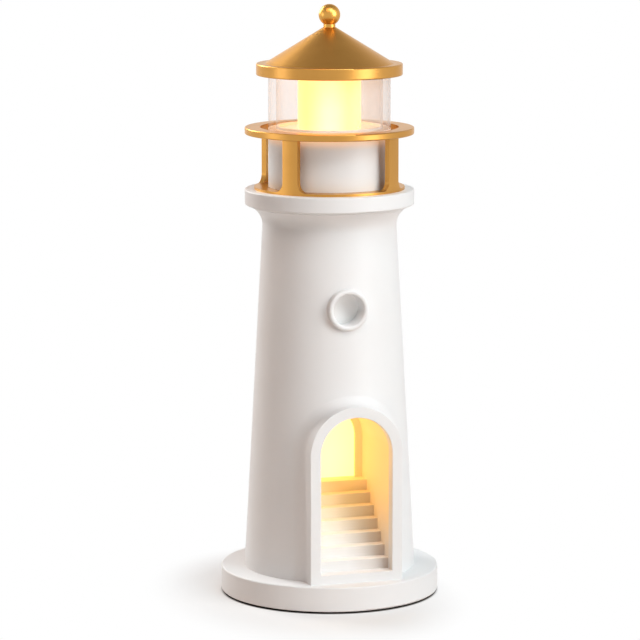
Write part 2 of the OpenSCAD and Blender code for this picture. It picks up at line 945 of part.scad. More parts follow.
module sensor_board() {
    half_w = sensor_board_w / 2;
    half_h = sensor_board_h / 2;
    color("seagreen")
    facing_front()
        difference() {
            block(-half_w, half_w, -half_h, half_h, board_back, board_face);
            for (z = [-board_screw_z, board_screw_z]) {
                translate([0, z, 0]) rod(board_screw_r + 2 * fit, board_back - cut, board_face + cut);
            }
        }
}

// Block on the back of the sensor board
module board_part(x, z, w, h, t) {
    block(x - w / 2, x + w / 2, z - h / 2, z + h / 2, board_back - t, board_back);
}

// Chip, capacitor and sockets on the back of the sensor board
module board_parts() {
    color("dimgray")
    facing_front() {
        board_part(-parts_x, 0, chip_w, chip_h, chip_t);
        translate([parts_x, 0, 0]) rod(can_r, board_back - can_h, board_back);
        for (side = [-1, 1]) {
            board_part(side * parts_x, -socket_drop, socket_w, socket_h, socket_t);
        }
        board_part(0, socket_rise, socket_w, socket_h, socket_t);
    }
}

module board_screws() {
    bite = board_t + board_screw_bite;
    color("silver")
    facing_front()
        for (z = [-board_screw_z, board_screw_z]) {
            translate([0, z, board_back]) screw(board_screw_r, bite, board_screw_head_r, board_screw_head_h);
        }
}

module gallery_slab() {
    spigot_r = neck_bore_r - fit;
    color("white")
    difference() {
        rotate_extrude() {
            difference() {
                soft_rect(0, slab_r, tower_top, slab_top, slab_edge);
                rect(-cut, slab_core_r, tower_top - cut, slab_ceiling);
            }
            rect(spigot_r - slab_spigot_wall, spigot_r, tower_top - slab_spigot_h, slab_ceiling + cut);
        }
        rod(slab_hole_r, slab_ceiling - cut, slab_top + cut);
        around(3, drum_screw_ring, 90) rod(screw_r + screw_hole_fit, slab_ceiling - cut, slab_top + cut);
    }
}

module lantern_drum() {
    drum_bore = drum_r - drum_wall;
    glass_collar = glass_bore - fit;
    lamp_collar = diffuser_bore - fit;
    color("white")
    difference() {
        union() {
            difference() {
                rod(drum_r, slab_top, deck_z);
                rod(drum_bore, slab_top - cut, deck_z - drum_wall);
            }
            around(3, drum_screw_ring, 90) rod(drum_boss_r, slab_top, deck_z - drum_wall + cut);
            tube(glass_collar, glass_collar - collar_wall, deck_z - cut, deck_z + collar_h);
            tube(lamp_collar, lamp_collar - collar_wall, deck_z - cut, deck_z + collar_h);
        }
        rod(wire_hole_r, deck_z - drum_wall - cut, deck_z + cut);
        around(3, drum_screw_ring, 90)
            rod(screw_r + pilot_fit, slab_top - cut, slab_top + drum_screw_bite + pilot_spare);
    }
}

module drum_screws() {
    bite = slab_plate + drum_screw_bite;
    color("silver")
    around(3, drum_screw_ring, 90) translate([0, 0, slab_ceiling]) screw(screw_r, bite, screw_head_r, screw_head_h);
}

// Foot ring with four posts whose feet flare out on both sides
module rail_posts() {
    foot_top = slab_top + rail_foot_t;
    flare = post_w / 2 + post_fillet;
    // The fillets dip a little into the foot ring, so that they cross its face
    fillet_z = foot_top + post_fillet - rail_foot_t / 10;
    color("goldenrod")
    intersection() {
        rotate_extrude()
            polygon([
                [drum_r + rail_foot_gap, slab_top],
                [rail_r, slab_top],
                [rail_r, ring_z],
                [rail_r - post_t, ring_z],
                [rail_r - post_t, foot_top],
                [drum_r + rail_foot_gap, foot_top],
            ]);
        union() {
            rod(rail_r + cut, slab_top - cut, foot_top);
            around(4, 0, rail_turn + 45)
                translate([drum_r, 0, 0])
                rotate([90, 0, 90])
                linear_extrude(height = rail_r + cut - drum_r) {
                    rect(-post_w / 2, post_w / 2, slab_top, ring_z + cut);
                    difference() {
                        rect(-flare, flare, slab_top, fillet_z);
                        for (side = [-1, 1]) {
                            translate([side * flare, fillet_z]) circle(r = post_fillet);
                        }
                    }
                }
        }
    }
}

module rail_ring() {
    color("goldenrod")
    rotate_extrude()
        difference() {
            soft_rect(0, rail_ring_r, ring_z, ring_top, rail_edge);
            rect(-cut, rail_ring_bore, ring_z - cut, ring_top + cut);
        }
}

module lantern_glass() {
    color("lightcyan", 0.4) tube(drum_r, glass_bore, deck_z, roof_z + groove_depth);
}

module lamp_diffuser() {
    top = roof_z + groove_depth - fit;
    color("lightyellow")
    difference() {
        rod(diffuser_r, deck_z, top);
        rod(diffuser_bore, deck_z - cut, top - diffuser_wall);
    }
}

module lamp_board() {
    color("white") rod(lamp_board_r, deck_z, deck_z + lamp_board_t);
}

module lamp_leds() {
    board_top = deck_z + lamp_board_t;
    color("khaki")
    around(lamp_led_count, lamp_led_ring, 90)
        block(-led_w / 2, led_w / 2, -led_h / 2, led_h / 2, board_top, board_top + led_t);
}

module roof_shell() {
    color("goldenrod")
    difference() {
        rotate_extrude() {
            difference() {
                union() {
                    soft_rect(0, brim_r, roof_z, brim_top, brim_edge);
                    polygon([
                        [0, roof_z],
                        [cone_r, roof_z],
                        [cone_r, brim_top],
                        [cone_top_r, cone_top],
                        [0, cone_top],
                    ]);
                }
                rect(-cut, liner_r, roof_z - cut, liner_top);
                polygon([
                    [-cut, roof_z],
                    [cone_radius(liner_top) - cone_shift, roof_z],
                    [cone_radius(liner_top) - cone_shift, liner_top],
                    [cone_radius(stud_boss_z) - cone_shift, stud_boss_z],
                    [-cut, stud_boss_z],
                ]);
            }
        }
        rod(stud_r + pilot_fit, stud_boss_z - cut, cone_top + cut);
    }
}

module roof_liner() {
    color("white")
    difference() {
        rod(liner_r - fit, roof_z, liner_top);
        tube(drum_r + fit, glass_bore - fit, roof_z - cut, roof_z + groove_depth);
        rod(diffuser_r + fit, roof_z - cut, roof_z + groove_depth);
    }
}

module finial() {
    ball_z = cone_top + neck_h + sqrt(pow(ball_r, 2) - pow(neck_r, 2));
    color("goldenrod")
    union() {
        translate([0, 0, ball_z]) sphere(r = ball_r);
        rod(neck_r, cone_top, ball_z);
        rod(stud_r, stud_boss_z - nut_h - 1, ball_z);
    }
}

module finial_nut() {
    color("silver")
    difference() {
        translate([0, 0, stud_boss_z - nut_h]) cylinder(r = 2 * stud_r, h = nut_h, $fn = 6);
        rod(stud_r + pilot_fit, stud_boss_z - nut_h - cut, stud_boss_z + cut);
    }
}

// Lead from the switch up the back of the tower to the sensor board
module power_lead() {
    end_z = port_z - socket_drop;
    color("firebrick")
    lead([
        [lead_x, lead_back_y, cover_top + switch_h],
        [lead_x, lead_back_y, end_z - 14],
        [lead_x, lead_back_y - 8, end_z - 4],
        [port_x + parts_x, socket_t + 2 - board_back, end_z],
        [port_x + parts_x, socket_t - board_back, end_z],
    ]);
}

// Lead from the sensor board down to the lights behind the stairs
module stair_lead() {
    start_z = port_z - socket_drop;
    lead_side = port_x - parts_x;
    color("firebrick")
    lead([
        [lead_side, socket_t - board_back, start_z],
        [lead_side, socket_t + 4 - board_back, start_z],
        [lead_side, box_back + 2, start_z - 12],
        [lead_side, box_back + box_cover_t + 3, start_z - 20],
        [lead_side, box_back + box_cover_t + 3, arch_z + 4],
        [lead_side, box_back + box_cover_t + 1, arch_z],
        [lead_side, box_back, arch_z],
    ]);
}

// Lead from the sensor board up to the lamp board
module lamp_lead() {
    color("firebrick")
    lead([
        [port_x, socket_t + lead_gap - board_back, port_z + socket_rise],
        [port_x, socket_t + 4 - board_back, port_z + socket_rise + 3],
        [0, 4 - slab_hole_r, tower_top - 20],
        [0, 0, slab_top + 6],
        [0, 0, deck_z],
    ]);
}

base_disc();
bottom_cover();
battery_door();
switch_body();
switch_knob();
foot_pad(0);  // foot_pad_1
foot_pad(90);  // foot_pad_2
foot_pad(180);  // foot_pad_3
foot_pad(270);  // foot_pad_4
battery(-1, 1);  // battery_1
battery(0, -1);  // battery_2
battery(1, 1);  // battery_3
contact_bridge_right();
contact_bridge_left();
contact_plus();
contact_minus();
cover_screws();
tower_screws();
battery_leads();
tower_shell();
stair_insert();
stair_light_panel();
stair_led_board();
stair_leds();
light_box_cover();
porthole_ring();
sensor_window();
motion_sensor();
sensor_board();
board_parts();
board_screws();
gallery_slab();
lantern_drum();
drum_screws();
rail_posts();
rail_ring();
lantern_glass();
lamp_diffuser();
lamp_board();
lamp_leds();
roof_shell();
roof_liner();
finial();
finial_nut();
power_lead();
stair_lead();
lamp_lead();
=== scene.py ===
import json
import math
import bmesh
import bpy
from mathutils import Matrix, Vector


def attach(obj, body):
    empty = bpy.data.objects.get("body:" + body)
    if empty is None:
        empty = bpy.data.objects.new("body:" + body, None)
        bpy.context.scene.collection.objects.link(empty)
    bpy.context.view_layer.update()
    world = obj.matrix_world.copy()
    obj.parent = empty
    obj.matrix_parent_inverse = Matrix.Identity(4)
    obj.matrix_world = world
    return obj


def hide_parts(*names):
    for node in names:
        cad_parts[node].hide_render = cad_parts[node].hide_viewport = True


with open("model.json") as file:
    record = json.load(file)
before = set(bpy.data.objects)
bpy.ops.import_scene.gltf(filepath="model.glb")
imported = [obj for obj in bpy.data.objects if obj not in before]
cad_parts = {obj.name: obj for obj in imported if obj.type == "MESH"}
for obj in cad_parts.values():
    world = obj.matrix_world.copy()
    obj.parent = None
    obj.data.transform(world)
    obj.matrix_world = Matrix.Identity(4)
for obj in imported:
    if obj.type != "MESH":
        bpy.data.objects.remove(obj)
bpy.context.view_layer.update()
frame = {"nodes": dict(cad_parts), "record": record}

mm = 0.001
smoothAngle = 32
weld = 0.0005 * mm
nodes = frame["nodes"]


def letGo():
    # the loaded nodes come in selected, and so does a new primitive
    if bpy.context.mode != "OBJECT":
        bpy.ops.object.mode_set(mode="OBJECT")
    bpy.ops.object.select_all(action="DESELECT")


def take(piece):
    letGo()
    piece.select_set(True)
    bpy.context.view_layer.objects.active = piece


def openMesh(piece, kind="VERT"):
    take(piece)
    bpy.ops.object.mode_set(mode="EDIT")
    bpy.ops.mesh.select_mode(type=kind)
    bpy.ops.mesh.select_all(action="SELECT")


def closeMesh():
    bpy.ops.object.mode_set(mode="OBJECT")


def pick(kind, wanted):
    # selects the vertices, edges or faces that answer the question
    mesh = bmesh.from_edit_mesh(bpy.context.edit_object.data)
    bpy.ops.mesh.select_mode(type=kind)
    bpy.ops.mesh.select_all(action="DESELECT")
    found = {"VERT": mesh.verts, "EDGE": mesh.edges, "FACE": mesh.faces}[kind]
    for part in found:
        if wanted(part):
            part.select_set(True)
    mesh.select_flush_mode()
    bmesh.update_edit_mesh(bpy.context.edit_object.data)


def settle(piece):
    # place goes into the mesh, the object stays at the origin
    take(piece)
    bpy.ops.object.transform_apply(location=True, rotation=True, scale=True)


def arc(centreR, centreZ, radius, start, end, count):
    # points along an arc, its ends in degrees
    angles = [math.radians(start + (end - start) * step / count) for step in range(count + 1)]
    return [(centreR + radius * math.cos(a), centreZ + radius * math.sin(a)) for a in angles]


def drawn(name, outline, closed):
    # one vertex pulled from point to point, in mm, in the xz plane
    here = outline[0]
    letGo()
    bpy.ops.mesh.primitive_plane_add(size=mm, location=(here[0] * mm, 0, here[1] * mm))
    piece = bpy.context.object
    piece.name = name
    settle(piece)
    openMesh(piece)
    bpy.ops.mesh.merge(type="CENTER")
    for there in outline[1:] + (outline[:1] if closed else []):
        step = ((there[0] - here[0]) * mm, 0, (there[1] - here[1]) * mm)
        bpy.ops.mesh.extrude_vertices_move(TRANSFORM_OT_translate={"value": step})
        here = there
    bpy.ops.mesh.select_all(action="SELECT")
    bpy.ops.mesh.remove_doubles(threshold=weld)
    return piece


def turned(name, outline, closed=True, steps=192):
    # an outline spun round the tower's axis
    piece = drawn(name, outline, closed)
    bpy.ops.mesh.spin(steps=steps, angle=math.tau, use_auto_merge=True, center=(0, 0, 0), axis=(0, 0, 1))
    bpy.ops.mesh.select_all(action="SELECT")
    bpy.ops.mesh.remove_doubles(threshold=weld)
    bpy.ops.mesh.normals_make_consistent(inside=False)
    closeMesh()
    return piece


def plate(name, outline, fromY, toY):
    # a flat outline given thickness along y
    piece = drawn(name, outline, True)
    bpy.ops.mesh.edge_face_add()
    bpy.ops.transform.translate(value=(0, fromY * mm, 0))
    bpy.ops.mesh.extrude_region_move(TRANSFORM_OT_translate={"value": (0, (toY - fromY) * mm, 0)})
    bpy.ops.mesh.select_all(action="SELECT")
    bpy.ops.mesh.normals_make_consistent(inside=False)
    closeMesh()
    return piece


def archLine(half, footZ, springZ, count=96):
    # a doorway's outline: upright sides and a round head
    return [(half, footZ)] + arc(0, springZ, half, 0, 180, count) + [(-half, footZ)]


def join(piece, tool, how="UNION"):
    # UNION, DIFFERENCE or INTERSECT with a tool that is used up
    made = piece.modifiers.new("join", "BOOLEAN")
    made.operation = how
    made.solver = "EXACT"
    made.object = tool
    take(piece)
    bpy.ops.object.modifier_apply(modifier=made.name)
    bpy.data.objects.remove(tool)


def copied(piece, name):
    take(piece)
    bpy.ops.object.duplicate(linked=False)
    twin = bpy.context.object
    twin.name = name
    return twin


def corner(edge, least=50):
    # a hard edge between two faces
    return len(edge.link_faces) == 2 and edge.calc_face_angle(0) > math.radians(least)


def roundEdges(piece, wanted, width, segments=3):
    openMesh(piece, "EDGE")
    pick("EDGE", wanted)
    bpy.ops.mesh.bevel(offset=width * mm, segments=segments, profile=0.5, affect="EDGES", clamp_overlap=True)
    closeMesh()


def finishPiece(piece, body, look, standsFor):
    # even shading, its look, the body it rides on and the nodes it stands for
    settle(piece)
    bpy.ops.object.shade_smooth_by_angle(angle=math.radians(smoothAngle))
    weights = piece.modifiers.new("weights", "WEIGHTED_NORMAL")
    weights.keep_sharp = True
    bpy.ops.object.modifier_apply(modifier=weights.name)
    piece.data.materials.clear()
    piece.data.materials.append(look)
    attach(piece, body)
    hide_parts(*standsFor)
    print(piece.name, "done,", len(piece.data.polygons), "faces")


class Wire:
    # a socket that can stand in a sum
    def __init__(self, look, socket):
        self.look = look
        self.socket = socket

    def math(self, operation, first, second):
        return self.look.node("Math", {"operation": operation}, {0: first, 1: second})

    def __add__(self, other):
        return self.math("ADD", self, other)

    def __radd__(self, other):
        return self.math("ADD", other, self)

    def __sub__(self, other):
        return self.math("SUBTRACT", self, other)

    def __mul__(self, other):
        return self.math("MULTIPLY", self, other)

    def __truediv__(self, other):
        return self.math("DIVIDE", self, other)

    def __pow__(self, other):
        return self.math("POWER", self, other)

    def out(self, name):
        return Wire(self.look, self.socket.node.outputs[name])


class Look:
    # the node tree of a new material, or of the world
    def __init__(self, name, kind="materials"):
        self.owner = getattr(bpy.data, kind).new(name)
        self.owner.use_nodes = True
        self.tree = self.owner.node_tree
        self.tree.nodes.clear()

    def node(self, kind, settings=None, sockets=None):
        # settings go in first, then the values and links of the sockets
        made = self.tree.nodes.new("ShaderNode" + kind)
        for key, value in (settings or {}).items():
            setattr(made, key, value)
        for key, value in (sockets or {}).items():
            if isinstance(value, Wire):
                self.tree.links.new(value.socket, made.inputs[key])
            else:
                made.inputs[key].default_value = value
        return Wire(self, made.outputs[0]) if len(made.outputs) else None

    def place(self):
        return self.node("TexCoord").out("Object")

    def stretched(self, scale):
        return self.node("Mapping", {}, {"Vector": self.place(), "Scale": scale})

    def noise(self, scale, detail=3.0, roughness=0.5, at=None):
        return self.node("TexNoise", {}, {
            "Vector": at or self.place(), "Scale": scale, "Detail": detail, "Roughness": roughness})

    def clouds(self):
        # broad faint patches, as in moulded plastic
        return self.noise(28.0, 4.0, 0.55)

    def skin(self):
        # the fine grain of a moulded face
        return self.noise(2600.0, 2.0, 0.6)

    def axes(self):
        return self.node("SeparateXYZ", {}, {"Vector": self.place()})

    def blend(self, share, first, second):
        mixed = self.node("Mix", {"data_type": "RGBA"}, {0: share, 6: first, 7: second})
        return Wire(self, mixed.socket.node.outputs[2])

    def span(self, value, low, high, toLow=0.0, toHigh=1.0):
        return self.node("MapRange", {"clamp": True}, {0: value, 1: low, 2: high, 3: toLow, 4: toHigh})

    def bump(self, height, strength, distance):
        return self.node("Bump", {}, {"Height": height, "Strength": strength, "Distance": distance * mm})

    def finish(self, sockets):
        surface = self.node("BsdfPrincipled", {}, sockets)
        self.node("OutputMaterial", {}, {"Surface": surface})
        return self.owner


def rgb(red, green, blue):
    return (red, green, blue, 1.0)


def mouldedLook(name, tone, shade, rough, grain=1.0, relief=0.3, shine=0.5, glow=0.0):
    # moulded plastic: faint cloudy tone, fine skin, a little unevenness in its gloss; glow is painted light, an even
    # emission that lifts faces in shade
    look = Look(name)
    clouds = look.clouds()
    skin = look.skin()
    wave = look.noise(140.0, 2.0, 0.5)
    share = look.span(clouds, 0.35, 0.7)
    return look.finish({
        "Base Color": look.blend(share, rgb(*tone), rgb(*shade)),
        "Roughness": rough + (clouds - 0.5) * 0.1 + (skin - 0.5) * 0.06,
        "Normal": look.bump(skin * 0.7 + wave * 0.6, relief, 0.05 * grain),
        "IOR": 1.49,
        "Specular IOR Level": shine,
        "Emission Color": rgb(*tone),
        "Emission Strength": glow,
    })


def goldLook(name, tone, shade, rough, flakes=1.0, patches=1.0):
    # metallic paint: warm base, darker mottling, fine flakes that break up the gloss
    look = Look(name)
    mottle = look.noise(60.0, 4.0, 0.6)
    flake = look.noise(2400.0, 2.0, 0.7)
    share = look.span(mottle, 0.35, 0.68)
    return look.finish({
        "Base Color": look.blend(share, rgb(*tone), rgb(*shade)),
        "Metallic": 0.97 + (mottle - 0.5) * 0.04,
        "Roughness": rough + (flake - 0.5) * 0.12 * flakes + (mottle - 0.5) * 0.05 * patches,
        "Normal": look.bump(flake, 0.18 * flakes, 0.03),
        "Specular Tint": rgb(1.0, 0.72, 0.36),
        "Coat Weight": 0.6,
        "Coat Roughness": 0.26,
    })


def clearLook(name, veil, rim, rimPower, across, paintedDensity, paintedTones, rimTone):
    # clear wall: a faint veil, denser where it is seen edge on; along x it thickens and turns from warm to grey, a
    # painted refraction and reflection of the lamp's glow
    # across: from where to where the painted veil thickens and its tone turns, mm
    look = Look(name)
    haze = look.noise(90.0, 3.0, 0.5)
    facing = look.node("LayerWeight", {}, {"Blend": 0.5}).out("Facing")
    edgeOn = facing ** rimPower
    along = look.axes().out("X")
    low, high = across[0] * mm, across[1] * mm
    thick = look.span(along, low, high, *paintedDensity)
    paintedGlowTint = look.blend(look.span(along, low, high), rgb(*paintedTones[0]), rgb(*paintedTones[1]))
    return look.finish({
        "Base Color": look.blend(edgeOn, paintedGlowTint, rgb(*rimTone)),
        "Roughness": 0.05 + haze * 0.05,
        "Alpha": thick * veil + edgeOn * rim + (haze - 0.5) * 0.02,
        "IOR": 1.49,
    })


def glowLook(name, core, skin, rough, across, upward):
    # opal plastic with light inside, paler in the middle of its width and towards one end; the paler middle is a
    # painted highlight for the hot core behind the opal
    # across: middle and half width, mm; upward: the dim end and the bright end, mm
    look = Look(name)
    place = look.axes()
    offset = (place.out("X") - across[0] * mm) / (across[1] * mm)
    middle = look.span(offset * offset, 0.0, 1.0, 1.0, 0.0) ** 2.0
    height = look.span(place.out("Z"), upward[0] * mm, upward[1] * mm, 0.35, 1.0)
    cloud = look.noise(120.0, 2.0, 0.5)
    share = look.span(middle * height + (cloud - 0.5) * 0.08, 0.0, 1.0)
    return look.finish({
        "Base Color": rgb(0.5, 0.42, 0.25),
        "Roughness": rough + (cloud - 0.5) * 0.08,
        "Emission Color": look.blend(share, rgb(*skin), rgb(*core)),
        "Emission Strength": 1.0,
    })


def stairLook(name, white, paintedAmber, wall, riserShadeTone, low, high, inner, outer):
    # matt white with painted light from the amber panel: warmer on the way up and towards the side walls, less amber
    # on the left where the key lamp falls
    # low and high: heights between which the painted amber grows; inner and outer: the walls' near and far x, mm
    look = Look(name)
    place = look.axes()
    clouds = look.clouds()
    skin = look.skin()
    climb = look.span(place.out("Z"), low * mm, high * mm)
    side = look.node("Math", {"operation": "ABSOLUTE"}, {0: place.out("X")})
    edge = look.span(side, inner * mm, outer * mm)
    paintedSideAmber = look.span(place.out("X"), -outer * mm, inner * mm, 0.5, 1.0)
    paintedStepTone = look.blend(climb * climb * paintedSideAmber, rgb(*white), rgb(*paintedAmber))
    # painted shade: risers darken towards the right wall, below the landing
    turnedTo = look.node("SeparateXYZ", {}, {"Vector": look.node("NewGeometry").out("Normal")})
    riser = look.span(turnedTo.out("Y"), -0.5, -0.9) * look.span(place.out("Z"), high * mm, (high - 6) * mm)
    paintedRiserShade = riser * look.span(place.out("X"), -2 * mm, outer * mm) * 0.6
    return look.finish({
        "Base Color": look.blend(paintedRiserShade, look.blend(edge * 0.8 * climb, paintedStepTone, rgb(*wall)), rgb(*riserShadeTone)),
        "Roughness": 0.55 + (clouds - 0.5) * 0.1,
        # painted glow: the upper part gives off a faint amber light, though it is no lamp
        "Emission Color": look.blend(climb * climb, rgb(0, 0, 0), rgb(*paintedAmber)),
        "Emission Strength": 0.2,
        "Normal": look.bump(skin, 0.3, 0.05),
    })


def drumLook(name, tone, paintedWarmTone, glow, paintedDeckGlow, low, high, deckZ):
    # painted lamp light: the drum's white wall warms and glows between low and high, and its deck glows, in place of
    # the lamp's light on them
    look = Look(name)
    place = look.axes()
    clouds = look.clouds()
    skin = look.skin()
    paintedLampLight = look.span(place.out("Z"), low * mm, high * mm) ** 1.5
    deck = look.span(place.out("Z"), (deckZ - 0.4) * mm, deckZ * mm)
    plain = look.blend(look.span(clouds, 0.35, 0.7), rgb(*tone), rgb(*[c * 0.97 for c in tone]))
    return look.finish({
        "Base Color": look.blend(deck, look.blend(paintedLampLight, plain, rgb(*paintedWarmTone)), rgb(*tone)),
        "Roughness": 0.42 + (clouds - 0.5) * 0.1,
        "Emission Color": look.blend(deck, look.blend(paintedLampLight, rgb(0, 0, 0), rgb(*glow)), rgb(*paintedDeckGlow)),
        "Emission Strength": 1.0,
        "Normal": look.bump(skin, 0.3, 0.05),
    })


def metalLook(name, tone, rough):
    # plated metal, faintly brushed along z and a little stained
    look = Look(name)
    brushed = look.noise(700.0, 3.0, 0.6, look.stretched((1.0, 1.0, 0.08)))
    stain = look.noise(90.0, 3.0, 0.5)
    return look.finish({
        "Base Color": look.blend(look.span(stain, 0.4, 0.7), rgb(*tone), rgb(*[c * 0.82 for c in tone])),
        "Metallic": 1.0,
        "Roughness": rough + (brushed - 0.5) * 0.2,
        "Normal": look.bump(brushed, 0.2, 0.02),
    })


def boardLook(name, tone, trace):
    # printed circuit board: mask over faint tracks
    look = Look(name)
    tracks = look.node("TexBrick", {}, {
        "Vector": look.stretched((1.0, 1.0, 1.0)), "Scale": 190.0, "Mortar Size": 0.012,
        "Color1": rgb(*tone), "Color2": rgb(*[c * 0.88 for c in tone]), "Mortar": rgb(*trace)})
    mask = look.noise(500.0, 2.0, 0.5)
    return look.finish({
        "Base Color": tracks.out("Color"),
        "Roughness": 0.3 + mask * 0.15,
        "Normal": look.bump(tracks.out("Fac") * -1.0 + 1.0, 0.2, 0.03),
    })


def cellLook(name, sleeve, copper, bandAt):
    # plain sleeve of a cell: dark body, copper from bandAt on along x, mm
    look = Look(name)
    place = look.axes()
    band = look.span(place.out("X"), bandAt * mm, (bandAt + 0.3) * mm)
    grime = look.noise(260.0, 3.0, 0.5)
    return look.finish({
        "Base Color": look.blend(band, rgb(*sleeve), rgb(*copper)),
        "Metallic": 0.25 + band * 0.4,
        "Roughness": 0.28 + grime * 0.14,
        "Normal": look.bump(grime, 0.1, 0.02),
    })


looks = {
    "white_shell": mouldedLook(
        "satinWhiteShell", tone=(0.84, 0.836, 0.832), shade=(0.822, 0.817, 0.812), rough=0.42, shine=0.3),
    "white_cover": mouldedLook(
        "etchedWhiteCover", tone=(0.80, 0.785, 0.77), shade=(0.77, 0.755, 0.735), rough=0.58, grain=2.5, relief=0.5),
    # the stair's amber and wall tone are painted light, its riser tone is painted shade
    "stair_white": stairLook(
        "mattWhiteStairPaintedAmber", white=(0.84, 0.832, 0.82), paintedAmber=(0.96, 0.72, 0.27), wall=(0.96, 0.70, 0.42),
        riserShadeTone=(0.46, 0.33, 0.24), low=17.0, high=50.0, inner=9.0, outer=15.5),
    # the window's glow is painted light, lifting the shade inside the porthole's bore
    "window_white": mouldedLook(
        "milkyWindowPaintedGlow", tone=(0.88, 0.87, 0.855), shade=(0.85, 0.84, 0.825), rough=0.32, glow=0.11),
    "gold_satin": goldLook(
        "satinGold", tone=(0.56, 0.272, 0.046), shade=(0.51, 0.242, 0.038), rough=0.34),
    "gold_gloss": goldLook(
        "glossGold", tone=(0.62, 0.31, 0.05), shade=(0.59, 0.292, 0.045), rough=0.32, flakes=0.2, patches=0.4),
    # the tube's warm left and denser right are painted reflections of the lamp's glow
    "clear_acrylic": clearLook(
        "clearAcrylic", veil=0.10, rim=0.62, rimPower=3.5, across=(-14.0, 16.0), paintedDensity=(0.6, 2.7),
        paintedTones=((0.84, 0.765, 0.68), (0.66, 0.65, 0.66)), rimTone=(0.46, 0.44, 0.46)),
    # the diffuser's paler middle sits off centre, at x -4.1 mm, a painted highlight on the face turned to the camera
    "glow_diffuser": glowLook(
        "lampDiffuser", core=(2.2, 1.04, 0.62), skin=(2.2, 1.03, 0.26), rough=0.5,
        across=(-4.1, 9.0), upward=(229.0, 214.0)),
    "glow_panel": glowLook(
        "stairPanel", core=(1.9, 1.3, 0.53), skin=(1.9, 1.2, 0.40), rough=0.5,
        across=(0.0, 16.0), upward=(84.0, 60.0)),
    "steel": metalLook("platedSteel", tone=(0.62, 0.61, 0.59), rough=0.3),
    "black_plastic": mouldedLook("blackPlastic", tone=(0.02, 0.02, 0.021), shade=(0.03, 0.03, 0.031), rough=0.45),
    "foam": mouldedLook(
        "softFoam", tone=(0.06, 0.06, 0.062), shade=(0.045, 0.045, 0.046), rough=0.85, grain=6.0, relief=0.8),
    "cell": cellLook("cellSleeve", sleeve=(0.022, 0.023, 0.026), copper=(0.52, 0.24, 0.1), bandAt=8.0),
    "board": boardLook("greenBoard", tone=(0.012, 0.10, 0.045), trace=(0.03, 0.20, 0.09)),
    "board_white": boardLook("whiteBoard", tone=(0.72, 0.72, 0.70), trace=(0.55, 0.55, 0.54)),
    "led": glowLook(
        "ledWindow", core=(1.2, 1.0, 0.5), skin=(1.2, 0.86, 0.36), rough=0.3,
        across=(0.0, 30.0), upward=(40.0, 60.0)),
    "wire": mouldedLook("wireSleeve", tone=(0.42, 0.03, 0.025), shade=(0.36, 0.025, 0.02), rough=0.4),
}
ownLooks = {
    # the drum's warm top and its glows are painted lamp light
    "lantern_drum": drumLook(
        "whiteDrumPaintedLampLight", tone=(0.84, 0.836, 0.832), paintedWarmTone=(0.84, 0.70, 0.55), glow=(0.34, 0.15, 0.04),
        paintedDeckGlow=(0.22, 0.14, 0.07), low=198.0, high=202.3, deckZ=205.6),
}
print("materials done,", len(looks))

for part in frame["record"]["subparts"]:
    node = nodes[part["node"]]
    look = ownLooks.get(part["node"], looks[part["material_slot"]])
    if not node.material_slots:
        node.data.materials.append(look)
    for slot in node.material_slots:
        slot.material = look
print("frame nodes dressed,", len(nodes))


tower = {
    "footRadius": 37.7, "topRadius": 28.9, "footZ": 11.7, "height": 160.7, "topZ": 172.4, "wall": 2.4,
    "coveRadius": 9.0, "coveAt": (38.41, 163.4), "coveTurn": (183.2, 115.8), "lipRadius": 34.5,
    "neckBore": 26.4, "neckZ": 167.4, "springZ": 68.1, "edge": 0.35,
    "frameHalf": 20.9, "frameFace": 40.0, "doorHalf": 16.1, "sillZ": 15.8,
    "pocketHalf": 17.85, "pocketZ": 14.05, "pocketFace": 35.0,
    "filletReach": 4.2, "filletRise": 4.5, "filletBands": 9, "filletGap": 0.03, "filletSink": 0.06,
    "filletTuck": 1.0, "filletDepth": 1.2, "filletStart": 60, "filletBelow": 20,
    "portX": -1.4, "portZ": 130.0, "sleeveHole": 7.75, "steps": 256,
    "bossRing": 31.5, "bossRadius": 3.8, "bossTop": 23.7, "pilot": 1.25, "pilotTop": 20.3,
    "bossTurns": (45, 135, 225, 315),
    "boardBossZ": 11.7, "boardBossRadius": 2.5, "boardPilot": 1.0, "boardFace": -17.5, "boardPilotEnd": -23.1,
    "blockBack": 20, "doorBack": 15, "pocketBack": 14, "sleeveFrom": 15, "sleeveTo": 45, "over": 0.5,
}


def towerRadius(z):
    taper = tower["topRadius"] - tower["footRadius"]
    return tower["footRadius"] + taper * (z - tower["footZ"]) / tower["height"]


def towerForm(name, grow=0.0):
    # the outside with its cove, closed at both ends
    coveR, coveZ = tower["coveAt"]
    line = [(0, tower["footZ"]), (tower["footRadius"] + grow, tower["footZ"])]
    line += arc(coveR + grow, coveZ, tower["coveRadius"], *tower["coveTurn"], 14)
    line += [(tower["lipRadius"] + grow, tower["topZ"]), (0, tower["topZ"])]
    return turned(name, line, False, tower["steps"])


def towerHollow():
    below, above = tower["footZ"] - tower["over"], tower["topZ"] + tower["over"]
    return turned("towerHollow", [
        (0, below), (towerRadius(below) - tower["wall"], below),
        (towerRadius(tower["neckZ"]) - tower["wall"], tower["neckZ"]),
        (tower["neckBore"], tower["neckZ"]), (tower["neckBore"], above), (0, above)], False, tower["steps"])


def rod(name, x, y, radius, fromZ, toZ, sides=64):
    # a circle pulled up into a rod
    letGo()
    bpy.ops.mesh.primitive_circle_add(
        vertices=sides, radius=radius * mm, fill_type="NGON", location=(x * mm, y * mm, fromZ * mm))
    piece = bpy.context.object
    piece.name = name
    settle(piece)
    openMesh(piece, "FACE")
    bpy.ops.mesh.extrude_region_move(TRANSFORM_OT_translate={"value": (0, 0, (toZ - fromZ) * mm)})
    bpy.ops.mesh.select_all(action="SELECT")
    bpy.ops.mesh.normals_make_consistent(inside=False)
    closeMesh()
    return piece


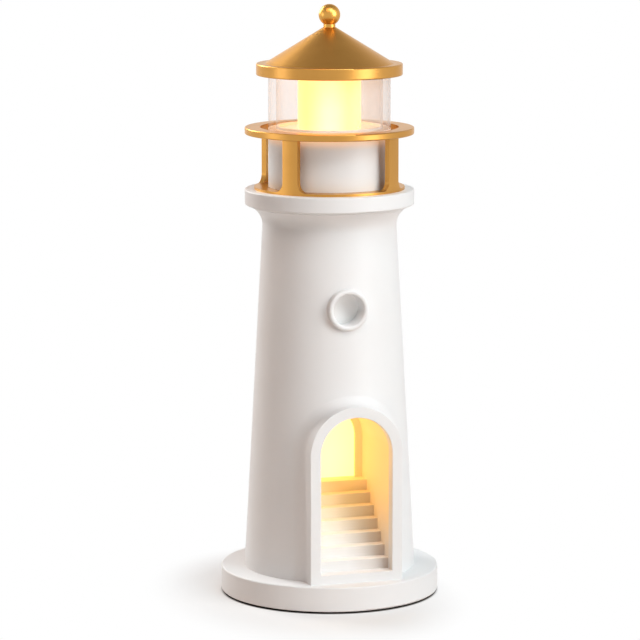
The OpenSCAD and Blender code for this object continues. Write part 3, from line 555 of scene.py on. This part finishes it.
def toFront(piece, z):
    # laid down so that up points at the viewer, at this height, in line with the porthole
    piece.rotation_euler = (math.radians(90), 0, 0)
    piece.location = (tower["portX"] * mm, 0, z * mm)
    settle(piece)
    return piece


def beyondFrame(point):
    # distance from the frame's outline, outwards, in mm
    x, z = point.x / mm, point.z / mm - tower["springZ"]
    return (math.hypot(x, z) if z > 0 else abs(x)) - tower["frameHalf"]


def frameFillet(form):
    # a band round the frame, pressed onto the tower, then raised towards the frame
    reach, bands = tower["filletReach"], tower["filletBands"]
    angles = [math.radians(90 * band / bands) for band in range(bands + 1)]
    rings = [reach * (1 - math.sin(a)) for a in angles]
    rises = [tower["filletRise"] * (1 - math.cos(a)) for a in angles]
    # its outer edge starts just inside the wall, its inner edge is tucked into the frame
    rings[-1] = tower["filletGap"]
    rises[0] = -tower["filletSink"]
    rings.append(-tower["filletTuck"])
    rises.append(tower["filletRise"])
    piece = drawn("frameFillet", archLine(tower["frameHalf"] + reach, -tower["filletBelow"], tower["springZ"]), True)
    bpy.ops.mesh.edge_face_add()
    bpy.ops.transform.translate(value=(0, -tower["filletStart"] * mm, 0))
    bpy.ops.mesh.select_mode(type="FACE")
    for outer, inner in zip(rings, rings[1:]):
        bpy.ops.mesh.inset(thickness=(outer - inner) * mm, depth=0, use_even_offset=True)
    bpy.ops.mesh.delete(type="FACE")
    bpy.ops.mesh.select_all(action="SELECT")
    bpy.ops.mesh.bisect(plane_co=(0, 0, (tower["footZ"] + 0.02) * mm), plane_no=(0, 0, 1), clear_inner=True)
    closeMesh()
    press = piece.modifiers.new("press", "SHRINKWRAP")
    press.wrap_method = "PROJECT"
    press.use_project_y = True
    press.use_positive_direction = True
    press.target = form
    take(piece)
    bpy.ops.object.modifier_apply(modifier=press.name)
    openMesh(piece)
    for ring, rise in zip(rings, rises):
        pick("VERT", lambda v: abs(beyondFrame(v.co) - ring) < 0.01)
        bpy.ops.transform.translate(value=(0, -rise * mm, 0))
    bpy.ops.mesh.select_all(action="SELECT")
    thick = (tower["filletRise"] + tower["filletDepth"]) * mm
    bpy.ops.mesh.extrude_region_move(TRANSFORM_OT_translate={"value": (0, thick, 0)})
    bpy.ops.mesh.select_all(action="SELECT")
    bpy.ops.mesh.normals_make_consistent(inside=False)
    closeMesh()
    return piece


form = towerForm("towerShell")
fillet = frameFillet(form)
frameFace, over = tower["frameFace"], tower["over"]
frameBlock = plate(
    "frameBlock", archLine(tower["frameHalf"], tower["footZ"], tower["springZ"]), -frameFace, -tower["blockBack"])
join(form, frameBlock)
join(form, fillet)
join(form, towerHollow(), "DIFFERENCE")
doorway = plate(
    "doorway", archLine(tower["doorHalf"], tower["sillZ"], tower["springZ"]), -frameFace - 5, -tower["doorBack"])
pocket = plate(
    "pocket", archLine(tower["pocketHalf"], tower["pocketZ"], tower["springZ"]),
    -tower["pocketFace"], -tower["pocketBack"])
join(form, doorway, "DIFFERENCE")
join(form, pocket, "DIFFERENCE")
for turn in tower["bossTurns"]:
    at = [tower["bossRing"] * math.cos(math.radians(turn)), tower["bossRing"] * math.sin(math.radians(turn))]
    join(form, rod("boss", *at, tower["bossRadius"], tower["footZ"], tower["bossTop"]))
    join(form, rod("pilot", *at, tower["pilot"], tower["footZ"] - over, tower["pilotTop"]), "DIFFERENCE")
sleeveHole = rod("sleeveHole", 0, 0, tower["sleeveHole"], tower["sleeveFrom"], tower["sleeveTo"], 96)
join(form, toFront(sleeveHole, tower["portZ"]), "DIFFERENCE")
for side in (-1, 1):
    z = tower["portZ"] + side * tower["boardBossZ"]
    rear, wallMiddle = -tower["boardFace"], towerRadius(z) - tower["wall"] / 2
    join(form, toFront(rod("boardBoss", 0, 0, tower["boardBossRadius"], rear, wallMiddle), z))
    pilot = rod("boardPilot", 0, 0, tower["boardPilot"], rear - over, -tower["boardPilotEnd"])
    join(form, toFront(pilot, z), "DIFFERENCE")


def isFrameEdge(edge):
    # the sharp edges of the frame's face, without its foot line
    flush = all(abs(v.co.y + frameFace * mm) < 0.02 * mm for v in edge.verts)
    return corner(edge) and flush and max(v.co.z for v in edge.verts) > (tower["footZ"] + 0.1) * mm


roundEdges(form, isFrameEdge, tower["edge"])
finishPiece(form, "light", looks["white_shell"], ["tower_shell"])


stairs = {
    "nosingY": -34.4, "tread": 5.08, "sillZ": 15.8, "riser": 4.77, "count": 7, "nosing": 0.3,
    "wallY": 3.3, "archHalf": 13.0, "archZ": 49.0, "archEdge": 0.35,
}


def freshCopy(node, name):
    # a free copy of a frame node, its loose triangles merged into plain faces
    piece = copied(nodes[node], name)
    piece.parent = None
    for key in list(piece.keys()):
        del piece[key]
    openMesh(piece)
    bpy.ops.mesh.customdata_custom_splitnormals_clear()
    bpy.ops.mesh.remove_doubles(threshold=0.002 * mm)
    bpy.ops.mesh.mark_sharp(clear=True)
    bpy.ops.mesh.dissolve_limited(angle_limit=math.radians(0.6), use_dissolve_boundaries=False)
    closeMesh()
    return piece


def isNosing(edge):
    # an edge that runs along x at the front of a tread
    ys = [v.co.y / mm for v in edge.verts]
    zs = [v.co.z / mm for v in edge.verts]
    if abs(ys[0] - ys[1]) > 0.01 or abs(zs[0] - zs[1]) > 0.01:
        return False
    step = round((ys[0] - stairs["nosingY"]) / stairs["tread"])
    front = stairs["nosingY"] + step * stairs["tread"]
    top = stairs["sillZ"] + (step + 1) * stairs["riser"]
    return 0 <= step < stairs["count"] and abs(ys[0] - front) < 0.05 and abs(zs[0] - top) < 0.05


def isArchEdge(edge):
    # the sharp front edge of the back wall's arch
    onWall = all(abs(v.co.y - stairs["wallY"] * mm) < 0.02 * mm for v in edge.verts)
    inArch = all(abs(v.co.x) < (stairs["archHalf"] + 0.1) * mm and v.co.z > stairs["archZ"] * mm for v in edge.verts)
    return corner(edge) and onWall and inArch


insert = freshCopy("stair_insert", "stairInsert")
roundEdges(insert, isNosing, stairs["nosing"])
roundEdges(insert, isArchEdge, stairs["archEdge"])
finishPiece(insert, "light", looks["stair_white"], ["stair_insert"])


porthole = {
    "radius": 9.0, "bore": 6.9, "sleeve": 7.6, "face": 33.2, "back": 23.6, "rim": 1.0, "lip": 0.9,
    "root": 26.5, "sleeveSink": 1.5, "onWall": 0.05, "steps": 128,
}
outer, bore, front = porthole["radius"], porthole["bore"], porthole["face"]
rim, lip, back = porthole["rim"], porthole["lip"], porthole["back"]
ringLine = [(0, porthole["root"]), (outer, porthole["root"])]
ringLine += arc(outer - rim, front - rim, rim, 0, 90, 6) + [(0, front)]
ring = turned("portholeRing", ringLine, False, porthole["steps"])
toFront(ring, tower["portZ"])
join(ring, towerForm("towerBehind", porthole["onWall"]), "DIFFERENCE")
sleeve = rod("sleeve", 0, 0, porthole["sleeve"], back, front - porthole["sleeveSink"], porthole["steps"])
join(ring, toFront(sleeve, tower["portZ"]))
boreLine = [(0, back - 1), (bore, back - 1), (bore, front - lip)]
boreLine += arc(bore + lip, front - lip, lip, 180, 90, 6)[1:] + [(bore + lip, front + 1), (0, front + 1)]
bored = turned("bore", boreLine, False, porthole["steps"])
join(ring, toFront(bored, tower["portZ"]), "DIFFERENCE")
finishPiece(ring, "light", looks["white_shell"], ["porthole_ring"])


posts = {
    "turn": 41.4, "count": 4, "width": 7.6, "fillet": 4.3, "outer": 32.9, "thick": 2.35,
    "footBore": 26.9, "footZ": 179.2, "footTop": 180.3, "topZ": 203.2, "edge": 0.22,
    "sillSink": 0.11, "root": 24, "over": 0.5,
}


def postLine():
    # one post seen from outside, with its two feet
    half, curve = posts["width"] / 2, posts["fillet"]
    sill = posts["footTop"] - posts["sillSink"]
    left = [(-x, z) for x, z in arc(half + curve, sill + curve, curve, 180, 270, 12)]
    right = arc(half + curve, sill + curve, curve, 270, 180, 12)
    low, high = posts["footZ"] - posts["over"], posts["topZ"] + posts["over"]
    return [(-half, high)] + left + [(-half - curve, low), (half + curve, low)] + right + [(half, high)]


rails = turned("railPosts", [
    (posts["footBore"], posts["footZ"]), (posts["outer"], posts["footZ"]), (posts["outer"], posts["topZ"]),
    (posts["outer"] - posts["thick"], posts["topZ"]), (posts["outer"] - posts["thick"], posts["footTop"]),
    (posts["footBore"], posts["footTop"])], True, 192)
# what of the turned wall is kept: the foot ring and four posts
keep = rod("keep", 0, 0, posts["outer"] + 2, posts["footZ"] - 1, posts["footTop"], 96)
firstPost = plate("post", postLine(), -posts["outer"] - 3, -posts["root"])
for number in range(posts["count"]):
    post = copied(firstPost, "post")
    post.rotation_euler.z = math.radians(90 + posts["turn"] + 90 * number)
    settle(post)
    join(keep, post)
bpy.data.objects.remove(firstPost)
join(rails, keep, "INTERSECT")


def isPostEdge(edge):
    # the upright and flared edges of the posts' outer faces
    zs = [v.co.z / mm for v in edge.verts]
    outside = all(math.hypot(v.co.x, v.co.y) > (posts["outer"] - 0.03) * mm for v in edge.verts)
    between = min(zs) > posts["footTop"] - 0.2 and max(zs) < posts["topZ"] + 0.1
    return corner(edge, 40) and outside and between and min(zs) < posts["topZ"] - 0.1


roundEdges(rails, isPostEdge, posts["edge"], 2)
finishPiece(rails, "light", looks["gold_satin"], ["rail_posts"])


studio = {
    "cameraPlace": (-0.4263, -1.3688, 0.3492), "azimuth": -17.3, "pitch": 9.05,
    "lens": 185.68, "sensor": 36.0, "shiftX": -9.5 / 640, "farthest": 60.0,
    "air": (0.001, 0.001, 0.001), "mirrorHigh": (0.40, 0.39, 0.38), "airFrom": 0.35, "airTo": 0.9,
}
# the floor is painted near the foot and fades to plain white; the strip below the foot's edge gets a painted contact
# shadow
ground = {
    "size": 14.0, "tone": (0.80, 0.79, 0.78), "bounceTone": (0.78, 0.69, 0.635), "contactShadowTone": (0.06, 0.052, 0.048),
    "footFrom": 0.0472, "footTo": 0.0485, "fadeFrom": 0.036, "fadeTo": 0.07,
    "fadeShift": (0.013, 0.006, 0), "fadeScale": (1, 0.7, 1), "lift": 0.3, "rough": 0.9, "shine": 0.1,
}
# place and target in metres, power in watts; the two shine lamps only show in glossy faces
lamps = {
    "keyLight": {
        "place": (1.285, -1.662, 1.055), "target": (0, 0, 0.12), "size": (1.4, 1.6),
        "power": 35.5, "tone": (1.0, 0.987, 0.983), "onlyGloss": False},
    "topLight": {
        "place": (0.29, -1.287, 2.004), "target": (0, 0, 0.12), "size": (1.2, 1.2),
        "power": 22.1, "tone": (0.644, 0.892, 1.0), "onlyGloss": False},
    "fillLight": {
        "place": (-0.697, -0.915, 2.112), "target": (0, 0, 0.12), "size": (1.2, 1.2),
        "power": 14.3, "tone": (1.0, 0.629, 0.467), "onlyGloss": False},
    "rimLight": {
        "place": (-0.927, 1.765, 1.05), "target": (0, 0, 0.12), "size": (0.9, 1.3),
        "power": 36.0, "tone": (1.0, 0.985, 0.963), "onlyGloss": False},
    "shineRight": {
        "place": (1.38, -1.55, 0.30), "target": (0, 0, 0.2), "size": (0.9, 0.7),
        "power": 8.5, "tone": (0.93, 0.98, 1.0), "onlyGloss": True},
    "shineLeft": {
        "place": (-2.0, 0.25, 0.30), "target": (0, 0, 0.2), "size": (0.8, 0.8),
        "power": 5.0, "tone": (1.0, 0.97, 0.93), "onlyGloss": True},
}


def aimed(piece, target):
    piece.rotation_euler = (Vector(target) - piece.location).to_track_quat("-Z", "Y").to_euler()


def softbox(name, lamp):
    letGo()
    bpy.ops.object.light_add(type="AREA", location=lamp["place"])
    made = bpy.context.object
    made.name = name
    made.data.shape = "RECTANGLE"
    made.data.size, made.data.size_y = lamp["size"]
    made.data.energy = lamp["power"]
    made.data.color = lamp["tone"]
    made.visible_camera = False
    if lamp["onlyGloss"]:
        made.visible_diffuse = False
    aimed(made, lamp["target"])


letGo()
bpy.ops.object.camera_add(
    location=studio["cameraPlace"],
    rotation=(math.radians(90 - studio["pitch"]), 0, math.radians(studio["azimuth"])))
camera = bpy.context.object
camera.name = "camera"
camera.data.lens = studio["lens"]
camera.data.sensor_width = studio["sensor"]
camera.data.shift_x = studio["shiftX"]
camera.data.clip_end = studio["farthest"]
bpy.context.scene.camera = camera

for name, lamp in lamps.items():
    softbox(name, lamp)
print("lamps done,", len(lamps))


def either(look, first, second):
    # one where either light path is on
    return look.node("Math", {"operation": "MAXIMUM"}, {0: first, 1: second})


letGo()
bpy.ops.mesh.primitive_plane_add(size=ground["size"], location=(0, 0, 0))
floor = bpy.context.object
floor.name = "studioFloor"
floorLook = Look("floorPaint")
dust = floorLook.noise(3.0, 3.0, 0.5)
paths = floorLook.node("LightPath")
mirrored = either(floorLook, paths.out("Is Glossy Ray"), paths.out("Is Transmission Ray"))
watched = either(floorLook, paths.out("Is Camera Ray"), mirrored)
fromMiddle = floorLook.node("VectorMath", {"operation": "LENGTH"}, {0: floorLook.place()}).out("Value")
# painted shadow: the floor is dark under the foot's edge and is kept out of the white there
clearOfFoot = floorLook.span(fromMiddle, ground["footFrom"], ground["footTo"])
floorTone = floorLook.blend(clearOfFoot, rgb(*ground["contactShadowTone"]), rgb(*ground["tone"]))
painted = floorLook.node("BsdfPrincipled", {}, {
    "Base Color": floorLook.blend(watched, rgb(*ground["bounceTone"]), floorTone),
    "Roughness": ground["rough"] + (dust - 0.5) * 0.05, "Specular IOR Level": ground["shine"]})
shifted = floorLook.node("Mapping", {}, {
    "Vector": floorLook.place(), "Location": ground["fadeShift"], "Scale": ground["fadeScale"]})
spread = floorLook.node("VectorMath", {"operation": "LENGTH"}, {0: shifted}).out("Value")
far = floorLook.node("MapRange", {"clamp": True, "interpolation_type": "SMOOTHSTEP"}, {
    0: spread, 1: ground["fadeFrom"], 2: ground["fadeTo"], 3: ground["lift"], 4: 1.0})
white = floorLook.node("Emission", {}, {"Color": rgb(1, 1, 1), "Strength": 1.0})
mixed = floorLook.node("MixShader", {}, {0: far * watched * clearOfFoot, 1: painted, 2: white})
floorLook.node("OutputMaterial", {}, {"Surface": mixed})
floor.data.materials.append(floorLook.owner)

air = Look("studioAir", "worlds")
bpy.context.scene.world = air.owner
climb = air.node("SeparateXYZ", {}, {"Vector": air.node("TexCoord").out("Generated")}).out("Z")
high = air.span(climb, studio["airFrom"], studio["airTo"])
paths = air.node("LightPath")
seen = either(air, paths.out("Is Camera Ray"), paths.out("Is Transmission Ray"))
# white to the camera; gloss shows it darker overhead, and the lamps alone light the matt faces
inGloss = air.blend(high, rgb(1, 1, 1), rgb(*studio["mirrorHigh"]))
unseen = air.blend(paths.out("Is Glossy Ray"), rgb(*studio["air"]), inGloss)
glow = air.node("Background", {}, {"Color": air.blend(seen, unseen, rgb(1, 1, 1))})
air.node("OutputWorld", {}, {"Surface": glow})

bpy.context.scene.view_settings.view_transform = "Standard"
print("studio done")

letGo()
